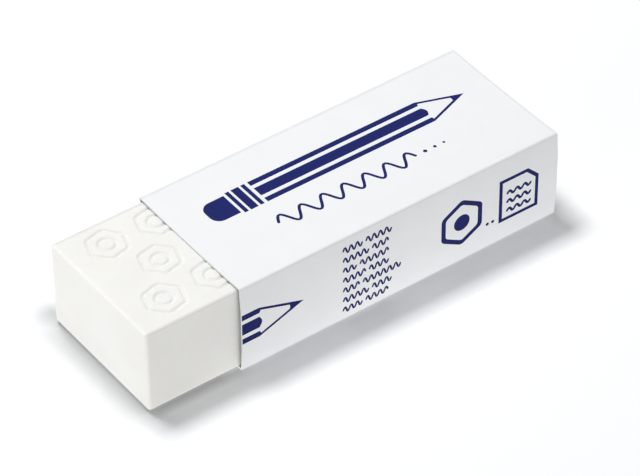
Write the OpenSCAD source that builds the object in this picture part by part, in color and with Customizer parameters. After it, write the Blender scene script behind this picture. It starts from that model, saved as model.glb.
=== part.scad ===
// Vinyl eraser block in a sliding sleeve of folded card, in millimetres.
//
// X runs along the eraser, and its bare working end is at -X. The sleeve's plain narrow side
// faces -Y, its glued lap faces +Y, and Z is up. The origin is under the middle of the whole,
// on the surface that the sleeve's bottom panel rests on.

/* [Block] */
// Length of the eraser block
block_l = 65; // [50:0.5:90]
// Width of the block, across its broad faces
block_w = 21.6; // [14:0.1:32]
// Height of the block, between its broad faces
block_h = 13.1; // [9:0.1:20]
// Radius of all the block's edges
block_edge_r = 0.45; // [0.25:0.05:1.2]

/* [Sleeve] */
// Thickness of the card
card_t = 0.25; // [0.2:0.05:0.5]
// Clearance between the block and the top panel, which takes up the sleeve's play in height
head_gap = 0.25; // [0.1:0.05:0.5]
// Clearance between the block and the bottom panel, which it lies on
foot_gap = 0.1; // [0.1:0.05:0.3]
// Clearance between the block and the lap, the side that the block lies close to
lap_gap = 0.1; // [0.1:0.05:0.8]
// Clearance between the block and the plain narrow side, which takes up the sleeve's play
plain_gap = 0.3; // [0.1:0.05:0.8]
// Length of the block left bare at its working end
bare_l = 14; // [4:0.1:25]
// Length of the sleeve past the block's far end
overhang_l = 0.4; // [0.1:0.1:2]
// Inside radius of the four creases
crease_r = 0.1; // [0.05:0.05:0.2]

/* [Glued lap] */
// Height of card left single at the foot of the lap, under the glue flap's free edge
single_h = 3; // [1:0.1:5]
// Length by which each slanted end of the glue flap is cut back at its free edge
flap_slant = 2.5; // [0.5:0.1:5]
// Drop of the back panel's free edge below the top of the sleeve
free_edge_drop = 1.6; // [0.5:0.1:3]

/* [Hidden] */
$fn = 64;

vinyl_white = [0.96, 0.96, 0.93];
card_white = [0.93, 0.94, 0.96];

// Along X: the whole is centred, the block starts at the working end
whole_l = block_l + overhang_l;
block_x = -whole_l / 2;
sleeve_x = block_x + bare_l;
sleeve_l = whole_l - bare_l;

// Across Y: the lap is one card thicker than the plain side, and the whole is centred.
// plain_y is the outer face of the plain side, lap_y that of the glue flap.
sleeve_w = block_w + plain_gap + lap_gap + 2 * card_t;
plain_y = -(sleeve_w + card_t) / 2;
lap_y = plain_y + sleeve_w;
block_mid_y = plain_y + card_t + plain_gap + block_w / 2;

// Up Z: the bottom panel lies at zero and carries the block
block_z = card_t + foot_gap;
sleeve_h = block_h + foot_gap + head_gap + 2 * card_t;
bend_out_r = crease_r + card_t;
flap_edge_z = card_t + single_h;
free_edge_z = sleeve_h - free_edge_drop;

// A rectangle centred on the origin with true round corners
module rounded_rect(width, height, r) {
    square([width - 2 * r, height], center = true);
    square([width, height - 2 * r], center = true);
    for (side = [-1, 1], level = [-1, 1])
        translate([side * (width / 2 - r), level * (height / 2 - r)])
            circle(r);
}

// The block: the same rounding seen from the end, from above and from the side
module eraser_block() {
    color(vinyl_white)
        translate([block_x + block_l / 2, block_mid_y, block_z + block_h / 2])
            intersection() {
                rotate([90, 0, 90])
                    linear_extrude(block_l, center = true)
                        rounded_rect(block_w, block_h, block_edge_r);
                linear_extrude(block_h, center = true)
                    rounded_rect(block_l, block_w, block_edge_r);
                rotate([90, 0, 0])
                    linear_extrude(block_w, center = true)
                        rounded_rect(block_l, block_h, block_edge_r);
            }
}

// One crease in the card's section: a quarter ring round a centre, open towards side and level
module crease(y, z, side, level) {
    translate([y, z])
        intersection() {
            difference() {
                circle(bend_out_r);
                circle(crease_r);
            }
            translate([side > 0 ? 0 : -bend_out_r, level > 0 ? 0 : -bend_out_r])
                square(bend_out_r);
        }
}

// A straight run of card in the section, between two corners
module panel(y_low, z_low, y_high, z_high) {
    translate([y_low, z_low])
        square([y_high - y_low, z_high - z_low]);
}

// The card's section: bottom, front, top and back panels with a crease between each pair.
// The back panel lies one card further out, over the glue flap that hangs from the top panel.
module card_section() {
    front_y = plain_y + bend_out_r;
    top_back_y = lap_y - bend_out_r;
    bottom_back_y = lap_y + card_t - bend_out_r;
    top_z = sleeve_h - bend_out_r;

    panel(front_y, 0, bottom_back_y, card_t);
    crease(front_y, bend_out_r, -1, -1);
    panel(plain_y, bend_out_r, plain_y + card_t, top_z);
    crease(front_y, top_z, -1, 1);
    panel(front_y, sleeve_h - card_t, top_back_y, sleeve_h);
    crease(top_back_y, top_z, 1, 1);
    crease(bottom_back_y, bend_out_r, 1, -1);
    panel(lap_y, bend_out_r, lap_y + card_t, free_edge_z);
}

// The glue flap: it hangs inside the back panel, with slanted ends that stay out of sight
module glue_flap() {
    root_z = sleeve_h - bend_out_r;
    translate([0, lap_y, 0])
        rotate([90, 0, 0])
            linear_extrude(card_t)
                polygon([
                    [0, root_z],
                    [flap_slant, flap_edge_z],
                    [sleeve_l - flap_slant, flap_edge_z],
                    [sleeve_l, root_z]
                ]);
}

// The sleeve: one strip of card, folded round the block and glued to itself at the back
module card_sleeve() {
    color(card_white)
        translate([sleeve_x, 0, 0]) {
            rotate([90, 0, 90])
                linear_extrude(sleeve_l)
                    card_section();
            glue_flap();
        }
}

eraser_block();
card_sleeve();
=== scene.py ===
"""Looks of a vinyl eraser in a folded card sleeve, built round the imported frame.

The script works in millimetres and turns them into Blender's metres where a mesh, a lamp or
the camera is made. X runs along the eraser from its bare end, Y towards the sleeve's lap, Z up.
"""

import math

import bpy
from mathutils import Matrix, Vector
from mathutils.geometry import delaunay_2d_cdt

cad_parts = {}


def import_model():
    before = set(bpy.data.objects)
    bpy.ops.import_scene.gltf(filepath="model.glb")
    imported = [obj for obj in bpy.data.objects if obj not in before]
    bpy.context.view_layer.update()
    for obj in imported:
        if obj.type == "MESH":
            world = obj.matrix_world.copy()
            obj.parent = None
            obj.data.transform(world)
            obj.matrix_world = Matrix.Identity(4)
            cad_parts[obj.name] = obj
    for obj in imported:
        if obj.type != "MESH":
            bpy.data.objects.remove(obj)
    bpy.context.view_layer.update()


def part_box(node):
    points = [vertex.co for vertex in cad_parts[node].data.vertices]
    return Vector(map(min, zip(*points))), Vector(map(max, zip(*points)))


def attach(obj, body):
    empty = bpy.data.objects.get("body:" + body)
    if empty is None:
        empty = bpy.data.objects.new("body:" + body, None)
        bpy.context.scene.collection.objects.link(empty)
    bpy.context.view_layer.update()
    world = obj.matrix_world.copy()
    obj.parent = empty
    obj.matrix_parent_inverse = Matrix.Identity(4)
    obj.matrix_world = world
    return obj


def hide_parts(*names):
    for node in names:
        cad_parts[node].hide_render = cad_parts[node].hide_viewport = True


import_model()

MM = 0.001
NEAR = 1e-5  # places closer than this are one


def box_of(node):
    """Lowest and highest corner of a node, in millimetres."""
    low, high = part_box(node)
    return low / MM, high / MM


def towards(turn):
    """The flat unit direction at an angle in radians."""
    return Vector((math.cos(turn), math.sin(turn)))


def left_of(direction):
    return Vector((-direction.y, direction.x))


BLOCK_LOW, BLOCK_HIGH = box_of("eraser_block")
SLEEVE_LOW, SLEEVE_HIGH = box_of("card_sleeve")

# These repeat the sizes of the construction that no box shows
CARD = 0.25
BEND = 0.1 + CARD  # outside radius of a crease
FLAP_EDGE_Z = CARD + 3.0
FLAP_SLANT = 2.5
FREE_EDGE_DROP = 1.6
BLOCK_EDGE = 0.45

SLEEVE_L = SLEEVE_HIGH.x - SLEEVE_LOW.x
SLEEVE_H = SLEEVE_HIGH.z - SLEEVE_LOW.z
SLEEVE_W = SLEEVE_HIGH.y - SLEEVE_LOW.y - CARD  # without the lap


# ---------------------------------------------------------------- meshes


class Skin:
    """Faces in which each corner keeps its own normal, while corners at one place are joined."""

    def __init__(self):
        self.places = []
        self.at = {}
        self.faces = []
        self.normals = []
        self.paints = []

    def vertex(self, place):
        key = tuple(round(c / NEAR) for c in place)
        if key not in self.at:
            self.at[key] = len(self.places)
            self.places.append(place)
        return self.at[key]

    def face(self, corners, paint):
        """Adds a face from (place, normal) pairs, anticlockwise from outside.

        Corners that meet are one. The paint is the number of the face's material.
        """
        ring = []
        for place, normal in corners:
            vertex = self.vertex(place)
            if not ring or (vertex != ring[-1][0] and vertex != ring[0][0]):
                ring.append((vertex, normal))
        if len(ring) > 2:
            self.faces.append([vertex for vertex, _ in ring])
            self.normals += [normal for _, normal in ring]
            self.paints.append(paint)

    def piece(self, name, materials):
        """The faces as a Blender object, in metres."""
        mesh = bpy.data.meshes.new(name)
        mesh.from_pydata([Vector(place) * MM for place in self.places], [], self.faces)
        for material in materials:
            mesh.materials.append(material)
        mesh.polygons.foreach_set("material_index", self.paints)
        mesh.polygons.foreach_set("use_smooth", [True] * len(self.faces))
        mesh.normals_split_custom_set([tuple(normal) for normal in self.normals])
        made = bpy.data.objects.new(name, mesh)
        bpy.context.scene.collection.objects.link(made)
        return made


def triangles(points, edges, outlines):
    """Triangles over flat points, with the edges and the outlines kept.

    Returns the points, the triples, the outlines that hold each triple, and the input points that
    each point stands for.
    """
    rings = []
    points = list(points)
    for outline in outlines:
        rings.append(list(range(len(points), len(points) + len(outline))))
        points += outline
    flat = [Vector(p) for p in points]
    whole_hull = 0
    flat, _, triples, origins, _, holders = delaunay_2d_cdt(flat, edges, rings, whole_hull, NEAR)
    return flat, triples, holders, origins


def circle_points(centre, radius, steps, start=0.0, sweep=360.0):
    """Points on an arc. A whole circle doesn't repeat its first point."""
    whole = abs(sweep) >= 360.0
    count = steps if whole else steps + 1
    turn = [math.radians(start + sweep * i / steps) for i in range(count)]
    return [(centre[0] + radius * math.cos(a), centre[1] + radius * math.sin(a)) for a in turn]


# ---------------------------------------------------------------- the eraser block

GROOVE_W = 0.9
GROOVE_DEPTH = 0.24
GROOVE_STATIONS = (-1.0, -0.7, -0.4, 0.0, 0.4, 0.7, 1.0)  # across the groove, in half widths
HEXAGON_R = 2.75  # centre to the middle of a rounded corner
HEXAGON_CORNER = 0.7
CORE_R = 1.15
MOTIF_PITCH = Vector((7.6, 6.4))
MOTIF_TILT = 12.0
BACK_EDGE_SHADE_W = 0.25  # width of the band of painted shade on the top, along its back edge
RIM_STEPS_L, RIM_STEPS_W = 20, 8  # of the block's long and short sides
BLOCK_BEND_STEPS = 6  # of each rounded edge
BLOCK_SIDE_STEPS = 6  # up each side
# The plain vinyl, and a greyer one that paints shade along the back top edge
PLAIN_VINYL, BACK_EDGE_SHADE = range(2)


def hexagon_loop(reach, round_r):
    """A pencil from its end: a hexagon with round corners, as (place, outward direction) pairs."""
    found = []
    for corner in range(6):
        middle = math.radians(60 * corner)
        centre = towards(middle) * (reach - round_r)
        for step in range(-2, 3):
            out = towards(middle + math.radians(15 * step))
            found.append((centre + out * round_r, out))
    return found


def core_loop():
    """The round lead in the pencil's middle, as the same pairs."""
    steps = 20
    outs = [towards(math.tau * i / steps) for i in range(steps)]
    return [(out * CORE_R, out) for out in outs]


def groove(loop, centre, tilt):
    """The rings of one pressed groove: each ring lists (place, depth, slope direction)."""
    turn = Matrix.Rotation(math.radians(tilt), 2)
    rings = []
    for station in GROOVE_STATIONS:
        depth = GROOVE_DEPTH * 0.5 * (1 + math.cos(math.pi * station))
        slope = GROOVE_DEPTH * math.pi / GROOVE_W * math.sin(math.pi * station)
        ring = []
        for place, out in loop:
            at = turn @ (place + out * station * GROOVE_W / 2) + centre
            ring.append((at, depth, (turn @ out) * slope))
        rings.append(ring)
    return rings


def motif_centres(half_l, half_w):
    """Middles of the pressed motifs: rows set off by half a pitch, kept whole on the face."""
    clear = HEXAGON_R + GROOVE_W
    found = []
    for row in (-1, 0, 1):
        shift = MOTIF_PITCH.x / 2 if row % 2 else 0.0
        column = -math.ceil(half_l / MOTIF_PITCH.x)
        while column * MOTIF_PITCH.x < half_l:
            place = Vector((column * MOTIF_PITCH.x + shift, row * MOTIF_PITCH.y))
            if abs(place.x) < half_l - clear and abs(place.y) < half_w - clear:
                found.append(place)
            column += 1
    return found


def rim_points(half_l, half_w, reach, corner_steps):
    """One ring round the block as (place, outward direction) pairs, reach out from a rectangle."""
    found = []
    corners = (
        (half_l, -half_w, 270),
        (half_l, half_w, 0),
        (-half_l, half_w, 90),
        (-half_l, -half_w, 180),
    )
    for i, (x, y, start) in enumerate(corners):
        for step in range(corner_steps + 1):
            out = towards(math.radians(start + 90 * step / corner_steps))
            found.append((Vector((x, y)) + out * reach, out))
        # The straight run to the next corner
        next_x, next_y, _ = corners[(i + 1) % 4]
        steps = RIM_STEPS_W if i % 2 == 0 else RIM_STEPS_L
        last, out = found[-1]
        run = Vector((next_x - x, next_y - y))
        found += [(last + run * step / steps, out) for step in range(1, steps)]
    return found


def flat_ring(half_l, half_w):
    """The points of one ring without rounding, each once."""
    found = []
    for at, _ in rim_points(half_l, half_w, 0.0, 1):
        if not found or (at - found[-1]).length > NEAR:
            found.append(at)
    return found


def broad_face(skin, half_l, half_w, height, side):
    """The block's top (side 1) or bottom (side -1), flat with pressed motifs.

    The top is greyer along its back edge: painted shade.
    """
    points, edges, depths = [], [], []

    def add_ring(ring):
        first = len(points)
        for at, depth, slope in ring:
            points.append(at)
            depths.append((depth, slope))
        count = len(ring)
        edges.extend((first + i, first + (i + 1) % count) for i in range(count))

    for inset in (0.0, BACK_EDGE_SHADE_W):
        add_ring([(at, 0.0, Vector((0, 0))) for at in flat_ring(half_l - inset, half_w - inset)])
    for centre in motif_centres(half_l, half_w):
        for loop in (hexagon_loop(HEXAGON_R, HEXAGON_CORNER), core_loop()):
            for ring in groove(loop, centre, MOTIF_TILT):
                add_ring(ring)
    flat, triples, _, origins = triangles(points, edges, [])
    middle = (BLOCK_LOW + BLOCK_HIGH) / 2

    def corner(i):
        depth, slope = depths[origins[i][0]]
        place = (flat[i].x + middle.x, flat[i].y + middle.y, height - side * depth)
        return place, Vector((-slope.x, -slope.y, side)).normalized()

    for triple in triples:
        # A greyer band along the top's back edge paints shade there
        back_edge_shaded = side > 0 and sum(flat[i].y for i in triple) / 3 > half_w - BACK_EDGE_SHADE_W
        outward = triple if side > 0 else reversed(triple)
        skin.face([corner(i) for i in outward], BACK_EDGE_SHADE if back_edge_shaded else PLAIN_VINYL)


def eraser_block(materials):
    """A box with round edges and rows of shallow motifs pressed into its two broad faces."""
    skin = Skin()
    middle = (BLOCK_LOW + BLOCK_HIGH) / 2
    half_l = (BLOCK_HIGH.x - BLOCK_LOW.x) / 2 - BLOCK_EDGE
    half_w = (BLOCK_HIGH.y - BLOCK_LOW.y) / 2 - BLOCK_EDGE
    top, bottom = BLOCK_HIGH.z - BLOCK_EDGE, BLOCK_LOW.z + BLOCK_EDGE

    def ring(height, lean):
        """A ring whose normals lean from straight up (90) over level (0) to straight down (-90)."""
        level, rise = math.cos(math.radians(lean)), math.sin(math.radians(lean))
        found = []
        for at, out in rim_points(half_l, half_w, BLOCK_EDGE * level, BLOCK_BEND_STEPS):
            place = (at.x + middle.x, at.y + middle.y, height + rise * BLOCK_EDGE)
            found.append((place, Vector((out.x * level, out.y * level, rise))))
        return found

    leans = [90 - 90 * i / BLOCK_BEND_STEPS for i in range(BLOCK_BEND_STEPS + 1)]
    shares = [i / BLOCK_SIDE_STEPS for i in range(1, BLOCK_SIDE_STEPS)]
    rings = [ring(top, lean) for lean in leans]
    rings += [ring(top + (bottom - top) * share, 0) for share in shares]
    rings += [ring(bottom, -lean) for lean in reversed(leans)]
    for band, (upper, lower) in enumerate(zip(rings, rings[1:])):
        for i in range(len(upper)):
            j = (i + 1) % len(upper)
            # The rounded back top edge is greyer too, as painted shade
            at_back = min(upper[i][0][1], upper[j][0][1]) > middle.y + half_w - NEAR
            back_edge_shaded = band < BLOCK_BEND_STEPS and at_back
            skin.face([upper[i], lower[i], lower[j], upper[j]], BACK_EDGE_SHADE if back_edge_shaded else PLAIN_VINYL)
    broad_face(skin, half_l, half_w, BLOCK_HIGH.z, 1)
    broad_face(skin, half_l, half_w, BLOCK_LOW.z, -1)
    return skin.piece("eraser_block_moulded", materials)


# ---------------------------------------------------------------- the card strip

CREASE_STEPS = 6
GRID = 3.2  # spacing of the points that let a panel bow
WORN_SHADED_EDGE = 0.35  # width of the band of wear and painted shade along the top panel's far end and back crease
WORN_SHADED_CREASES = ("top", "bottom", "back")  # creases with wear and painted shade, each by the panel that follows it
BOWS = {"flap": 0.0, "top": -0.18, "front": 0.25, "bottom": -0.05, "back": 0.06}  # outwards
BOW_FLATNESS = 0.15  # 0 makes a bow a plain half wave
MID_BOW = 0.5  # the share of a bow that is left halfway between the open ends
RUNS = {
    "flap": SLEEVE_H - BEND - FLAP_EDGE_Z,
    "top": SLEEVE_W - 2 * BEND,
    "front": SLEEVE_H - 2 * BEND,
    "bottom": SLEEVE_W + CARD - 2 * BEND,
    "back": SLEEVE_H - FREE_EDGE_DROP - BEND,
}
CREASE_RUN = BEND * math.pi / 2


def strip_runs():
    """The strip's panels and creases in order.

    Each is (name, first place along the strip, length, start point in section, heading in radians).
    """
    found = []
    along = 0.0
    point = Vector((SLEEVE_LOW.y + SLEEVE_W, FLAP_EDGE_Z))
    heading = math.pi / 2
    for name, length in RUNS.items():
        found.append((name, along, length, point.copy(), heading))
        along += length
        step = towards(heading)
        point += step * length
        if name != "back":
            found.append(("crease", along, CREASE_RUN, point.copy(), heading))
            along += CREASE_RUN
            point += (step + left_of(step)) * BEND
            heading += math.pi / 2
    return found


STRIP = strip_runs()
START = {name: along for name, along, *_ in STRIP if name != "crease"}
STRIP_END = START["back"] + RUNS["back"]


def section(along):
    """Place and outward direction of the card's print side in section, and how far it bows."""
    for name, first, length, point, heading in STRIP:
        if along <= first + length + NEAR:
            break
    step = towards(heading)
    if name == "crease":
        out = -left_of(towards(heading + (along - first) / BEND))
        return point + left_of(step) * BEND + out * BEND, out, 0.0
    turn = math.pi * max(0.0, min(1.0, (along - first) / length))
    bow = (math.sin(turn) + BOW_FLATNESS * math.sin(3 * turn)) / (1 - BOW_FLATNESS)
    return point + step * (along - first), -left_of(step), BOWS[name] * bow


def card_place(along, x):
    """A point of the print side: along is measured round the strip, x from the sleeve's bare end."""
    at, out, bow = section(along)
    bow *= (1 + MID_BOW) / 2 + (1 - MID_BOW) / 2 * math.cos(math.tau * x / SLEEVE_L)
    at = at + out * bow
    return Vector((SLEEVE_LOW.x + x, at.x, at.y))


def card_normal(along, x):
    """The print side's outward normal, from its places a little way off."""
    reach = 0.01
    low, high = max(0.0, along - reach), min(STRIP_END, along + reach)
    left, right = max(0.0, x - reach), min(SLEEVE_L, x + reach)
    round_it = card_place(high, x) - card_place(low, x)
    down_it = card_place(along, right) - card_place(along, left)
    return round_it.cross(down_it).normalized()


def top_place(u, v):
    """Strip coordinates of a spot on the top panel: u from the bare end, v up from the front edge."""
    return START["top"] + SLEEVE_W - BEND - v, u


def front_place(u, v):
    """Strip coordinates of a spot on the front panel: u from the bare end, v up from the bottom."""
    return START["front"] + SLEEVE_H - BEND - v, u


# ---------------------------------------------------------------- the print


def stroke(points, width):
    """Outline of a line of this width through the points, with round ends."""
    points = [Vector(p) for p in points]
    half = width / 2
    left, right = [], []
    for i, point in enumerate(points):
        before, after = points[max(i - 1, 0)], points[min(i + 1, len(points) - 1)]
        side = left_of((after - before).normalized()) * half
        left.append(point + side)
        right.append(point - side)

    def cap(centre, start):
        turn = math.degrees(math.atan2(start.y - centre.y, start.x - centre.x))
        return circle_points(centre, half, 6, turn, -180.0)[1:-1]

    outline = [*left, *cap(points[-1], left[-1]), *reversed(right), *cap(points[0], right[0])]
    return [tuple(p) for p in reversed(outline)]


def wave(u, v, periods, length, height, width):
    """A wavy line that starts at u, v and runs along u."""
    steps = 14  # a period
    shares = [i / steps for i in range(round(periods * steps) + 1)]
    found = [(u + length * share, v + height * math.sin(math.tau * share)) for share in shares]
    return stroke(found, width)


def block_shape(u0, v0, u1, v1):
    return [(u0, v0), (u1, v0), (u1, v1), (u0, v1)]


FACETS = ((-1.0, -0.63), (-0.37, 0.37), (0.63, 1.0))  # across the pencil, in half widths
FACET_BULGE = 0.24  # of a facet's round end, as a share of its width
CONE_LINE_W = 0.4
LEAD_SHARE = 0.36  # of the cone's length
LEAD_DENT = 0.35  # of the lead's back


def pencil(tip_u, mid_v, half, cone, body_u):
    """A pencil that points along u, seen from its side: three facets, a bare wood cone and the lead."""
    collar = tip_u - cone
    steps = 8
    shares = [i / steps for i in range(steps + 1)]
    found = []
    for low, high in FACETS:
        v_low, v_high = mid_v + low * half, mid_v + high * half
        bulge = FACET_BULGE * half * (high - low)
        end = []
        for share in shares:
            end.append((collar + bulge * math.sin(math.pi * share), v_low + (v_high - v_low) * share))
        found.append([(body_u, v_low), *end, (body_u, v_high)])
    lead = LEAD_SHARE * cone
    line_end = lead / 2  # short of the tip, inside the lead
    for side in (-1, 1):
        edge = half * line_end / cone
        found.append([
            (collar, mid_v + side * half),
            (tip_u - line_end, mid_v + side * edge),
            (tip_u - line_end, mid_v),
            (collar, mid_v + side * (half - CONE_LINE_W)),
        ])
    back = []
    for share in shares:
        across = 2 * share - 1
        dent = LEAD_DENT * (1 - across * across)
        back.append((tip_u - lead + dent, mid_v - across * half * lead / cone))
    found.append([(tip_u, mid_v), *back])
    return found


def pencil_end(u, mid_v, half):
    """The ferrule's bands and the rubber on a pencil's end, which ends at u."""
    found = []
    for start, width in ((-3.1, 0.6), (-2.15, 1.2), (-0.6, 0.6)):
        found.append(block_shape(u + start, mid_v - half, u + start + width, mid_v + half))
    high = 0.86 * half
    far, near = u - 7.4, u - 3.5
    round_r = 1.5
    outline = [(near, mid_v - high), (near, mid_v + high)]
    outline += circle_points((far + round_r, mid_v + high - round_r), round_r, 6, 90, 90)
    outline += circle_points((far + round_r, mid_v - high + round_r), round_r, 6, 180, 90)
    found.append(outline)
    return found


def hexagon_sign(centre):
    """A pencil seen from its end: a hexagonal ring as an outline and its hole, and the round lead."""
    found = []
    for reach, round_r in ((3.75, 0.9), (2.95, 0.7)):
        loop = hexagon_loop(reach, round_r)
        found.append([(centre[0] + place.y, centre[1] + place.x) for place, _ in loop])
    return (*found, circle_points(centre, 1.3, 24))


def sheet_sign(centre):
    """A sheet of paper with a cut corner: its outline, the hole in that, and the lines on the sheet."""
    half_u, half_v, cut, line = 3.3, 3.6, 1.8, 0.55
    u0, u1 = centre[0] - half_u, centre[0] + half_u
    v0, v1 = centre[1] - half_v, centre[1] + half_v
    outer = [(u0, v0), (u1, v0), (u1, v1 - cut), (u1 - cut, v1), (u0, v1)]
    tuck = line * math.tan(math.radians(45 / 2))  # of the cut corner's ends
    inner = [
        (u0 + line, v0 + line),
        (u1 - line, v0 + line),
        (u1 - line, v1 - cut - tuck),
        (u1 - cut - tuck, v1 - line),
        (u0 + line, v1 - line),
    ]
    lines = []
    for rise in (1.6, 3.1, 4.6):
        lines.append(wave(u0 + 1.4, v0 + rise, periods=3, length=1.28, height=0.3, width=0.4))
    return outer, inner, lines


SCRIBBLE_ROWS = ((3, 4), (4, 2.5), (2, 4.5), (3.5, 3), (2.5, 6), (4, 3), (3, 3.5))  # periods a word
SCRIBBLE_START = (16.1, 11.9)  # u and v of the first row
SCRIBBLE_PITCH = 1.7  # from row to row
SCRIBBLE_SPACE = 0.7  # between words


def top_print():
    """Print on the top panel: a long pencil, and a line under it that breaks up as if rubbed out."""
    mid_v, half = 14.2, 2.35
    shapes = pencil(46.8, mid_v, half, cone=6.6, body_u=12.9)
    shapes += pencil_end(12.4, mid_v, half)
    line_v = 7.7
    shapes.append(wave(11.6, line_v, periods=6.5, length=3.4, height=1.15, width=0.42))
    shapes += [circle_points((u, line_v), r, 14) for u, r in ((35.3, 0.3), (36.9, 0.25), (38.4, 0.2))]
    return shapes, []


def front_print():
    """Print on the front panel: a pencil's point, rows of scribble, a pencil's end and a sheet."""
    shapes = pencil(9.7, 7.2, 2.45, cone=7.0, body_u=0.0)
    for row, words in enumerate(SCRIBBLE_ROWS):
        u = SCRIBBLE_START[0]
        v = SCRIBBLE_START[1] - SCRIBBLE_PITCH * row
        for periods in words:
            shapes.append(wave(u, v, periods, length=1.0, height=0.44, width=0.3))
            u += periods + SCRIBBLE_SPACE
    ring, hole, lead = hexagon_sign((35.4, 6.8))
    outer, inner, lines = sheet_sign((44.9, 7.0))
    shapes += [ring, lead, outer, *lines]
    shapes += [circle_points((u, 4.3), 0.26, 12) for u in (39.7, 40.6)]
    return shapes, [(ring, hole), (outer, inner)]


def anticlockwise(outline):
    area = sum(a[0] * b[1] - b[0] * a[1] for a, b in zip(outline, outline[1:] + outline[:1]))
    return outline if area > 0 else outline[::-1]


def printed_shapes():
    """Every printed outline in strip coordinates, each with the outline of the hole in it or None."""
    found = []
    for place, (shapes, holed) in ((top_place, top_print()), (front_place, front_print())):
        for shape in shapes:
            hole = next((inner for outer, inner in holed if outer is shape), None)
            moved = anticlockwise([place(*p) for p in shape])
            found.append((moved, hole and anticlockwise([place(*p) for p in hole])))
    return found


# The last is greyer card: crease wear with painted shade, on all creases but the front top one and at
# the top's far end
PRINT_SIDE, INK, INNER_SIDE, CUT_EDGE, WORN_SHADED = range(5)


def strip_border():
    """The card strip's outline laid flat: a rectangle, with the glue flap's slanted ends."""
    return [
        (0.0, FLAP_SLANT),
        (RUNS["flap"], 0.0),
        (STRIP_END, 0.0),
        (STRIP_END, SLEEVE_L),
        (RUNS["flap"], SLEEVE_L),
        (0.0, SLEEVE_L - FLAP_SLANT),
    ]


def strip_grid():
    """Points over the strip laid flat, and the edges that keep creases and bands of wear and painted
    shade apart.
    """
    points, edges = [], []
    columns = round(SLEEVE_L / GRID)
    shares = [j / columns for j in range(columns)] + [1 - WORN_SHADED_EDGE / SLEEVE_L, 1.0]
    last_worn_shaded = None
    for name, first, length, _, _ in STRIP:
        steps = CREASE_STEPS if name == "crease" else max(1, round(length / GRID))
        alongs = [first + length * i / steps for i in range(steps + 1)]
        if name == "top":
            alongs.insert(1, first + WORN_SHADED_EDGE)
        for i, along in enumerate(alongs):
            inset = FLAP_SLANT * max(0.0, 1 - along / RUNS["flap"])
            row = list(range(len(points), len(points) + len(shares)))
            points += [(along, inset + (SLEEVE_L - 2 * inset) * share) for share in shares]
            if name == "crease" or (name == "top" and i == 1):
                edges += zip(row, row[1:])
            if name == "top":
                if last_worn_shaded:
                    edges.append((last_worn_shaded, row[-2]))
                last_worn_shaded = row[-2]
    return points, edges


def card_sleeve(materials):
    """The card strip folded round its creases, with its thickness and the print as faces of its own."""
    outlines = [strip_border()]
    role = {}  # of each other outline: the number of its shape, and whether it is the hole
    for number, (shape, hole) in enumerate(printed_shapes()):
        role[len(outlines)] = (number, False)
        outlines.append(shape)
        if hole:
            role[len(outlines)] = (number, True)
            outlines.append(hole)
    flat, triples, holders, _ = triangles(*strip_grid(), outlines)

    def inked(held):
        inside = {role[k][0] for k in held if k and not role[k][1]}
        return bool(inside - {role[k][0] for k in held if k and role[k][1]})

    outer, inner = [], []
    for spot in flat:
        place, normal = card_place(*spot), card_normal(*spot)
        outer.append((place, normal))
        inner.append((place - normal * CARD, -normal))

    # Greyer card as painted shade and wear: the top's far end and back edge, and the listed creases
    def worn_shaded(triple):
        along = sum(flat[i].x for i in triple) / 3
        x = sum(flat[i].y for i in triple) / 3
        if START["top"] < along < START["top"] + RUNS["top"]:
            return x > SLEEVE_L - WORN_SHADED_EDGE or along < START["top"] + WORN_SHADED_EDGE
        return any(START[name] - CREASE_RUN < along < START[name] for name in WORN_SHADED_CREASES)

    skin = Skin()
    sides = []
    for triple, held in zip(triples, holders):
        if 0 not in held:
            continue
        paint = INK if inked(held) else WORN_SHADED if worn_shaded(triple) else PRINT_SIDE
        skin.face([outer[i] for i in triple], paint)
        skin.face([inner[i] for i in reversed(triple)], INNER_SIDE)
        sides += zip(triple, [*triple[1:], triple[0]])
    both_ways = set(sides)
    for a, b in sides:
        if (b, a) in both_ways:
            continue
        corners = [outer[b][0], outer[a][0], inner[a][0], inner[b][0]]
        normal = (corners[1] - corners[0]).cross(corners[2] - corners[1]).normalized()
        skin.face([(corner, normal) for corner in corners], CUT_EDGE)
    return skin.piece("card_sleeve_folded", materials)


# ---------------------------------------------------------------- materials


VINYL_SCATTER = (1.6, 1.2, 0.8)  # how far red, green and blue light spread in it, in millimetres
NOISE_ROUGHNESS = 0.55
NOISE_SPREAD = (0.35, 0.65)  # most of a noise's values lie between these


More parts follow.
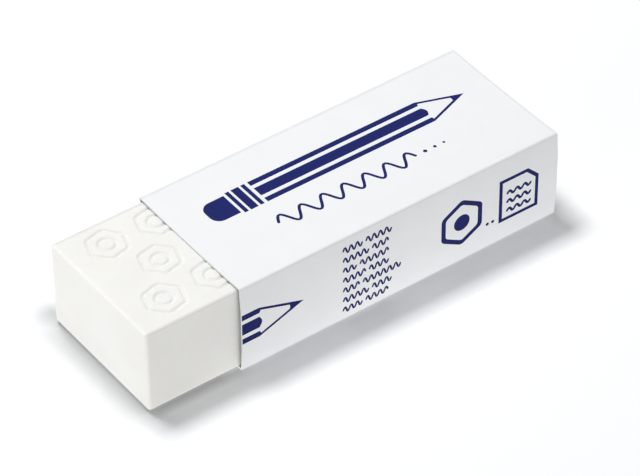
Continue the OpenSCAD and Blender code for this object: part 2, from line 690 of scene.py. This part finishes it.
class Finish:
    """A material built on one Principled shader, patterned in the piece's own coordinates."""

    def __init__(self, name, **sockets):
        self.material = bpy.data.materials.new(name)
        self.material.use_nodes = True
        self.nodes = self.material.node_tree.nodes
        self.links = self.material.node_tree.links
        self.shader = self.nodes["Principled BSDF"]
        for socket, value in sockets.items():
            self.shader.inputs[socket.replace("_", " ")].default_value = value
        self.coordinates = self.nodes.new("ShaderNodeTexCoord").outputs["Object"]

    def noise(self, size, stretch=(1, 1, 1), detail=3.0):
        """Noise with features about size millimetres across, longer where stretch is over 1."""
        mapping = self.nodes.new("ShaderNodeMapping")
        mapping.inputs["Scale"].default_value = [1 / (size * MM * s) for s in stretch]
        texture = self.nodes.new("ShaderNodeTexNoise")
        texture.inputs["Scale"].default_value = 1.0
        texture.inputs["Detail"].default_value = detail
        texture.inputs["Roughness"].default_value = NOISE_ROUGHNESS
        self.links.new(self.coordinates, mapping.inputs["Vector"])
        self.links.new(mapping.outputs["Vector"], texture.inputs["Vector"])
        return texture.outputs["Fac"]

    def colour(self, amount, low, high):
        """The base colour runs from low to high with the amount, a noise."""
        ramp = self.nodes.new("ShaderNodeValToRGB")
        for stop, position, shown in zip(ramp.color_ramp.elements, NOISE_SPREAD, (low, high)):
            stop.position = position
            stop.color = (*shown, 1)
        self.links.new(amount, ramp.inputs["Fac"])
        self.links.new(ramp.outputs["Color"], self.shader.inputs["Base Color"])

    def scatter(self, radius):
        """How far light spreads under the skin, in millimetres."""
        self.shader.inputs["Subsurface Radius"].default_value = radius
        self.shader.inputs["Subsurface Scale"].default_value = MM

    def roughness(self, amount, low, high):
        """The roughness runs from low to high with the amount."""
        spread = self.nodes.new("ShaderNodeMapRange")
        spread.inputs["To Min"].default_value = low
        spread.inputs["To Max"].default_value = high
        self.links.new(amount, spread.inputs["Value"])
        self.links.new(spread.outputs["Result"], self.shader.inputs["Roughness"])

    def bump(self, *layers):
        """Relief from (amount, height in millimetres) layers."""
        last = None
        for amount, height in layers:
            bump = self.nodes.new("ShaderNodeBump")
            bump.inputs["Strength"].default_value = 1.0
            bump.inputs["Distance"].default_value = height * MM
            self.links.new(amount, bump.inputs["Height"])
            if last:
                self.links.new(last, bump.inputs["Normal"])
            last = bump.outputs["Normal"]
        self.links.new(last, self.shader.inputs["Normal"])


def vinyl():
    """Soft white vinyl: matt, very slightly warm and a little see-through at its edges."""
    finish = Finish("vinyl", Specular_IOR_Level=0.2, Subsurface_Weight=0.25)
    finish.scatter(VINYL_SCATTER)
    finish.colour(finish.noise(6.0), (0.875, 0.870, 0.835), (0.895, 0.892, 0.862))
    finish.roughness(finish.noise(2.5), 0.5, 0.62)
    finish.bump((finish.noise(0.35, detail=4.0), 0.006), (finish.noise(3.5), 0.01))
    return finish.material


def back_edge_shade_vinyl():
    """The vinyl along the back top edge: the same, a little grey, as painted shade."""
    finish = Finish("back_edge_shade_vinyl", Specular_IOR_Level=0.15, Subsurface_Weight=0.15)
    finish.scatter(VINYL_SCATTER)
    finish.colour(finish.noise(1.5, (3, 1, 1), 5.0), (0.760, 0.758, 0.735), (0.830, 0.827, 0.800))
    finish.roughness(finish.noise(1.0), 0.6, 0.72)
    finish.bump((finish.noise(0.35, detail=4.0), 0.008))
    return finish.material


def coated_card():
    """The print side: smooth, cool white, with the faint cloudiness of coated board."""
    finish = Finish("coated_card", Specular_IOR_Level=0.4)
    finish.colour(finish.noise(4.0, detail=5.0), (0.862, 0.876, 0.896), (0.880, 0.892, 0.908))
    finish.roughness(finish.noise(1.2), 0.36, 0.46)
    finish.bump((finish.noise(0.18, (4, 1, 1), 4.0), 0.002), (finish.noise(5.0), 0.012))
    return finish.material


def worn_shaded_card():
    """The print side at some creases and edges: greyer as painted shade, duller, with fine cracks of
    wear along the fold.
    """
    finish = Finish("worn_shaded_card", Specular_IOR_Level=0.25)
    finish.colour(finish.noise(0.25, (6, 1, 1), 5.0), (0.775, 0.790, 0.812), (0.835, 0.850, 0.870))
    finish.roughness(finish.noise(0.4), 0.55, 0.7)
    finish.bump((finish.noise(0.15, (6, 1, 1), 4.0), 0.006))
    return finish.material


def ink():
    """Dark blue ink on the coating, laid a little unevenly."""
    finish = Finish("ink", Specular_IOR_Level=0.08)
    finish.colour(finish.noise(0.5, detail=5.0), (0.0060, 0.0125, 0.112), (0.0085, 0.0155, 0.136))
    finish.roughness(finish.noise(0.8), 0.4, 0.5)
    finish.bump((finish.noise(0.18, (4, 1, 1), 4.0), 0.002))
    return finish.material


def bare_board():
    """The inner side: uncoated, greyer, with fibres along the board's grain."""
    finish = Finish("bare_board", Specular_IOR_Level=0.2)
    finish.colour(finish.noise(0.3, (5, 1, 1), 5.0), (0.46, 0.46, 0.45), (0.56, 0.56, 0.55))
    finish.roughness(finish.noise(0.6), 0.8, 0.92)
    finish.bump((finish.noise(0.2, (5, 1, 1), 5.0), 0.01))
    return finish.material


def cut_board():
    """The cut edge: the white pulp, a little uneven where the knife tore it."""
    finish = Finish("cut_board", Specular_IOR_Level=0.15)
    finish.colour(finish.noise(0.12, (2, 2, 2), 4.0), (0.74, 0.74, 0.73), (0.84, 0.84, 0.83))
    finish.roughness(finish.noise(0.3), 0.85, 0.95)
    finish.bump((finish.noise(0.1), 0.01))
    return finish.material


# ---------------------------------------------------------------- camera, light and floor


def camera():
    """A long lens from the bare end's side, above."""
    azimuth, elevation, roll = (math.radians(degrees) for degrees in (-36.02, 41.24, -0.57))
    target = Vector((-0.09, -2.99, 6.95))
    distance = 468.0
    back = Vector((
        math.sin(azimuth) * math.cos(elevation),
        -math.cos(azimuth) * math.cos(elevation),
        math.sin(elevation),
    ))
    right = Vector((0, 0, 1)).cross(back).normalized()
    up = back.cross(right)
    rolled_right = right * math.cos(roll) + up * math.sin(roll)
    rolled_up = up * math.cos(roll) - right * math.sin(roll)
    lens = bpy.data.cameras.new("camera")
    lens.sensor_width = 36.0
    lens.lens = 201.85
    lens.clip_start, lens.clip_end = 0.01, 20.0
    made = bpy.data.objects.new("camera", lens)
    turn = Matrix((rolled_right, rolled_up, back)).transposed()
    made.matrix_world = Matrix.Translation((target + back * distance) * MM) @ turn.to_4x4()
    bpy.context.scene.collection.objects.link(made)
    bpy.context.scene.camera = made


OBJECT_MIDDLE = Vector((0.0, 0.0, 0.007))  # in metres


def softbox(name, place, size, watts):
    """A rectangular lamp, all in metres, turned to the object and not seen by the camera."""
    light = bpy.data.lights.new(name, "AREA")
    light.shape = "RECTANGLE"
    light.size, light.size_y = size
    light.energy = watts
    lamp = bpy.data.objects.new(name, light)
    away = Vector(place) - OBJECT_MIDDLE
    lamp.location = place
    lamp.rotation_mode = "QUATERNION"
    lamp.rotation_quaternion = away.to_track_quat("Z", "Y")
    lamp.visible_camera = False
    bpy.context.scene.collection.objects.link(lamp)


def lights():
    """A key light above and behind, a broad low one on the bare end, and a low fill on the front."""
    softbox("key_softbox", (-0.03, 0.178, 0.5), (0.16, 0.115), 1.82)
    softbox("end_softbox", (-1.0, -0.15, 0.16), (0.8, 0.3), 2.4)
    softbox("front_fill", (0.1, -1.0, 0.16), (0.8, 0.3), 1.0)


def seen(nodes, links):
    """1 for rays from the camera, or from it by way of a gloss or a clear thing."""
    path = nodes.new("ShaderNodeLightPath")
    total = path.outputs["Is Camera Ray"]
    for other in ("Is Glossy Ray", "Is Transmission Ray"):
        most = nodes.new("ShaderNodeMath")
        most.operation = "MAXIMUM"
        links.new(total, most.inputs[0])
        links.new(path.outputs[other], most.inputs[1])
        total = most.outputs["Value"]
    return total


WORLD_LIGHT = 0.35  # strength of the world where it isn't seen


def world():
    """White where it is seen, and a low even light on everything else."""
    made = bpy.data.worlds.new("world")
    made.use_nodes = True
    nodes, links = made.node_tree.nodes, made.node_tree.links
    background = nodes["Background"]
    background.inputs["Color"].default_value = (1, 1, 1, 1)
    strength = nodes.new("ShaderNodeMapRange")
    strength.inputs["To Min"].default_value = WORLD_LIGHT
    strength.inputs["To Max"].default_value = 1.0
    links.new(seen(nodes, links), strength.inputs["Value"])
    links.new(strength.outputs["Result"], background.inputs["Strength"])
    bpy.context.scene.world = made


def blend(nodes, links, amount, first, second):
    """The first shader where the amount is 0, the second where it is 1."""
    mix = nodes.new("ShaderNodeMixShader")
    links.new(amount, mix.inputs["Fac"])
    links.new(first, mix.inputs[1])
    links.new(second, mix.inputs[2])
    return mix.outputs["Shader"]


def halo(nodes, links, centre, reach):
    """1 at the centre on the floor, falling evenly to 0 on an ellipse of this reach, both in metres."""
    coordinates = nodes.new("ShaderNodeTexCoord")
    ellipse = nodes.new("ShaderNodeMapping")
    ellipse.vector_type = "TEXTURE"
    ellipse.inputs["Location"].default_value = (*centre, 0.0)
    ellipse.inputs["Scale"].default_value = (*reach, 1.0)
    falloff = nodes.new("ShaderNodeTexGradient")
    falloff.gradient_type = "SPHERICAL"
    links.new(coordinates.outputs["Object"], ellipse.inputs["Vector"])
    links.new(ellipse.outputs["Vector"], falloff.inputs["Vector"])
    return falloff.outputs["Fac"]


def floor():
    """A pale floor: white with the object's shadow where it is seen, a light table to the object."""
    mesh = bpy.data.meshes.new("floor")
    far = 4.0
    corners = [(-far, -far, 0), (far, -far, 0), (far, far, 0), (-far, far, 0)]
    mesh.from_pydata(corners, [], [(0, 1, 2, 3)])
    made = bpy.data.objects.new("floor", mesh)
    bpy.context.scene.collection.objects.link(made)
    material = bpy.data.materials.new("floor")
    material.use_nodes = True
    material.cycles.emission_sampling = "NONE"
    nodes, links = material.node_tree.nodes, material.node_tree.links
    nodes.remove(nodes["Principled BSDF"])
    glow, white = table_glow(nodes, links), shaded_white(nodes, links)
    top_side = blend(nodes, links, seen(nodes, links), glow, white)
    clear = nodes.new("ShaderNodeBsdfTransparent").outputs["BSDF"]
    from_below = nodes.new("ShaderNodeNewGeometry").outputs["Backfacing"]
    both_sides = blend(nodes, links, from_below, top_side, clear)
    links.new(both_sides, nodes["Material Output"].inputs["Surface"])
    mesh.materials.append(material)


SHADE_TINT = (1.03, 1.045, 1.06)
TABLE = 0.78  # strength of the floor's light on the object
GLOWS = (  # (centre, reach, added strength), both places in metres
    ((0.006, -0.014), (0.056, 0.022), 0.58),  # along the foot of the plain side
    ((-0.067, 0.006), (0.060, 0.060), 0.80),  # off the bare end
    ((-0.029, -0.016), (0.012, 0.013), -0.42),  # at the foot of the block's plain side
)


def table_glow(nodes, links):
    """Light from the floor, brightest where the photo's object is lit from below."""
    strength = None
    for centre, reach, gain in GLOWS:
        part = nodes.new("ShaderNodeMath")
        part.operation = "MULTIPLY_ADD"
        part.inputs[1].default_value = gain
        part.inputs[2].default_value = TABLE
        links.new(halo(nodes, links, centre, reach), part.inputs[0])
        if strength:
            links.new(strength, part.inputs[2])
        strength = part.outputs["Value"]
    glow = nodes.new("ShaderNodeEmission")
    links.new(strength, glow.inputs["Strength"])
    return glow.outputs["Emission"]


def closeness(nodes, links, reach):
    """How white the floor is near walls: 1 out of reach, To Min where they hide half of the sky."""
    contact = nodes.new("ShaderNodeAmbientOcclusion")
    contact.inputs["Distance"].default_value = reach * MM
    shade = nodes.new("ShaderNodeMapRange")
    shade.inputs["From Min"].default_value = 0.5
    links.new(contact.outputs["AO"], shade.inputs["Value"])
    return shade


# How white the floor is beside the object's walls, as closeness takes it
SHADES = (  # (x in millimetres, whiteness at the foot, whiteness further off)
    (BLOCK_LOW.x - 2.0, 1.0, 0.59),
    (BLOCK_LOW.x + 2.0, 0.58, 1.0),
    (SLEEVE_LOW.x - 3.0, 0.58, 1.0),
    (SLEEVE_LOW.x + 2.0, 1.0, 1.0),
    (SLEEVE_HIGH.x - 2.0, 1.0, 1.0),
    (SLEEVE_HIGH.x + 2.0, 1.0, 0.76),
)
SHADE_REACHES = (1.8, 7.0)  # of the two in SHADES, in millimetres
SHADE_ALL_ROUND = (4.0, 0.78)  # reach in millimetres, whiteness
CORNER_SHADE = ((-0.0320, 0.0125), (0.0032, 0.0032), 0.66)  # centre and reach in metres, whiteness
SHADED_R = 0.14  # reach in metres of the halo whose inner part shows the shadow
SHADE_FADE = (0.3, 0.5)  # the shadow starts to show and shows whole where that halo has these values


def shades_along(nodes, links):
    """The two whitenesses of SHADES, each as it runs along X."""
    coordinates = nodes.new("ShaderNodeTexCoord")
    place = nodes.new("ShaderNodeSeparateXYZ")
    links.new(coordinates.outputs["Object"], place.inputs["Vector"])
    low, high = SHADES[0][0], SHADES[-1][0]
    share = nodes.new("ShaderNodeMapRange")
    share.inputs["From Min"].default_value = low * MM
    share.inputs["From Max"].default_value = high * MM
    links.new(place.outputs["X"], share.inputs["Value"])
    ramp = nodes.new("ShaderNodeValToRGB")
    stops = ramp.color_ramp.elements
    for x, foot, further in (SHADES[0], SHADES[-1], *SHADES[1:-1]):
        position = (x - low) / (high - low)
        stop = stops.new(position) if 0 < position < 1 else stops[round(position)]
        stop.color = (foot, further, 0, 1)
    links.new(share.outputs["Result"], ramp.inputs["Fac"])
    columns = nodes.new("ShaderNodeSeparateColor")
    links.new(ramp.outputs["Color"], columns.inputs["Color"])
    return columns.outputs["Red"], columns.outputs["Green"]


def shaded_white(nodes, links):
    """White, darker round the object, most at the foot of the block, which stands off the floor."""
    white = nodes.new("ShaderNodeBsdfDiffuse")
    reach, whiteness = SHADE_ALL_ROUND
    shades = [closeness(nodes, links, reach)]
    shades[0].inputs["To Min"].default_value = whiteness
    for reach, whiteness in zip(SHADE_REACHES, shades_along(nodes, links)):
        shades.append(closeness(nodes, links, reach))
        links.new(whiteness, shades[-1].inputs["To Min"])
    centre, reach, whiteness = CORNER_SHADE
    corner = nodes.new("ShaderNodeMapRange")
    corner.inputs["To Min"].default_value = 1.0
    corner.inputs["To Max"].default_value = whiteness
    links.new(halo(nodes, links, centre, reach), corner.inputs["Value"])
    shades.append(corner)
    shaded = None
    for shade in shades:
        tint = nodes.new("ShaderNodeVectorMath")
        tint.operation = "SCALE"
        tint.inputs["Vector"].default_value = SHADE_TINT
        if shaded:
            links.new(shaded, tint.inputs["Vector"])
        links.new(shade.outputs["Result"], tint.inputs["Scale"])
        shaded = tint.outputs["Vector"]
    links.new(shaded, white.inputs["Color"])
    # Away from the object the white is even, so that it reaches the horizon in every view
    fade = nodes.new("ShaderNodeMapRange")
    fade.inputs["From Min"].default_value, fade.inputs["From Max"].default_value = SHADE_FADE
    links.new(halo(nodes, links, (0.0, 0.0), (SHADED_R, SHADED_R)), fade.inputs["Value"])
    even = nodes.new("ShaderNodeEmission")
    return blend(nodes, links, fade.outputs["Result"], even.outputs["Emission"], white.outputs["BSDF"])


# ---------------------------------------------------------------- the scene

bpy.context.scene.view_settings.view_transform = "Standard"
camera()

block = eraser_block([vinyl(), back_edge_shade_vinyl()])
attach(block, "block")
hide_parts("eraser_block")

sleeve = card_sleeve([coated_card(), ink(), bare_board(), cut_board(), worn_shaded_card()])
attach(sleeve, "sleeve")
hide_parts("card_sleeve")

lights()
world()
floor()
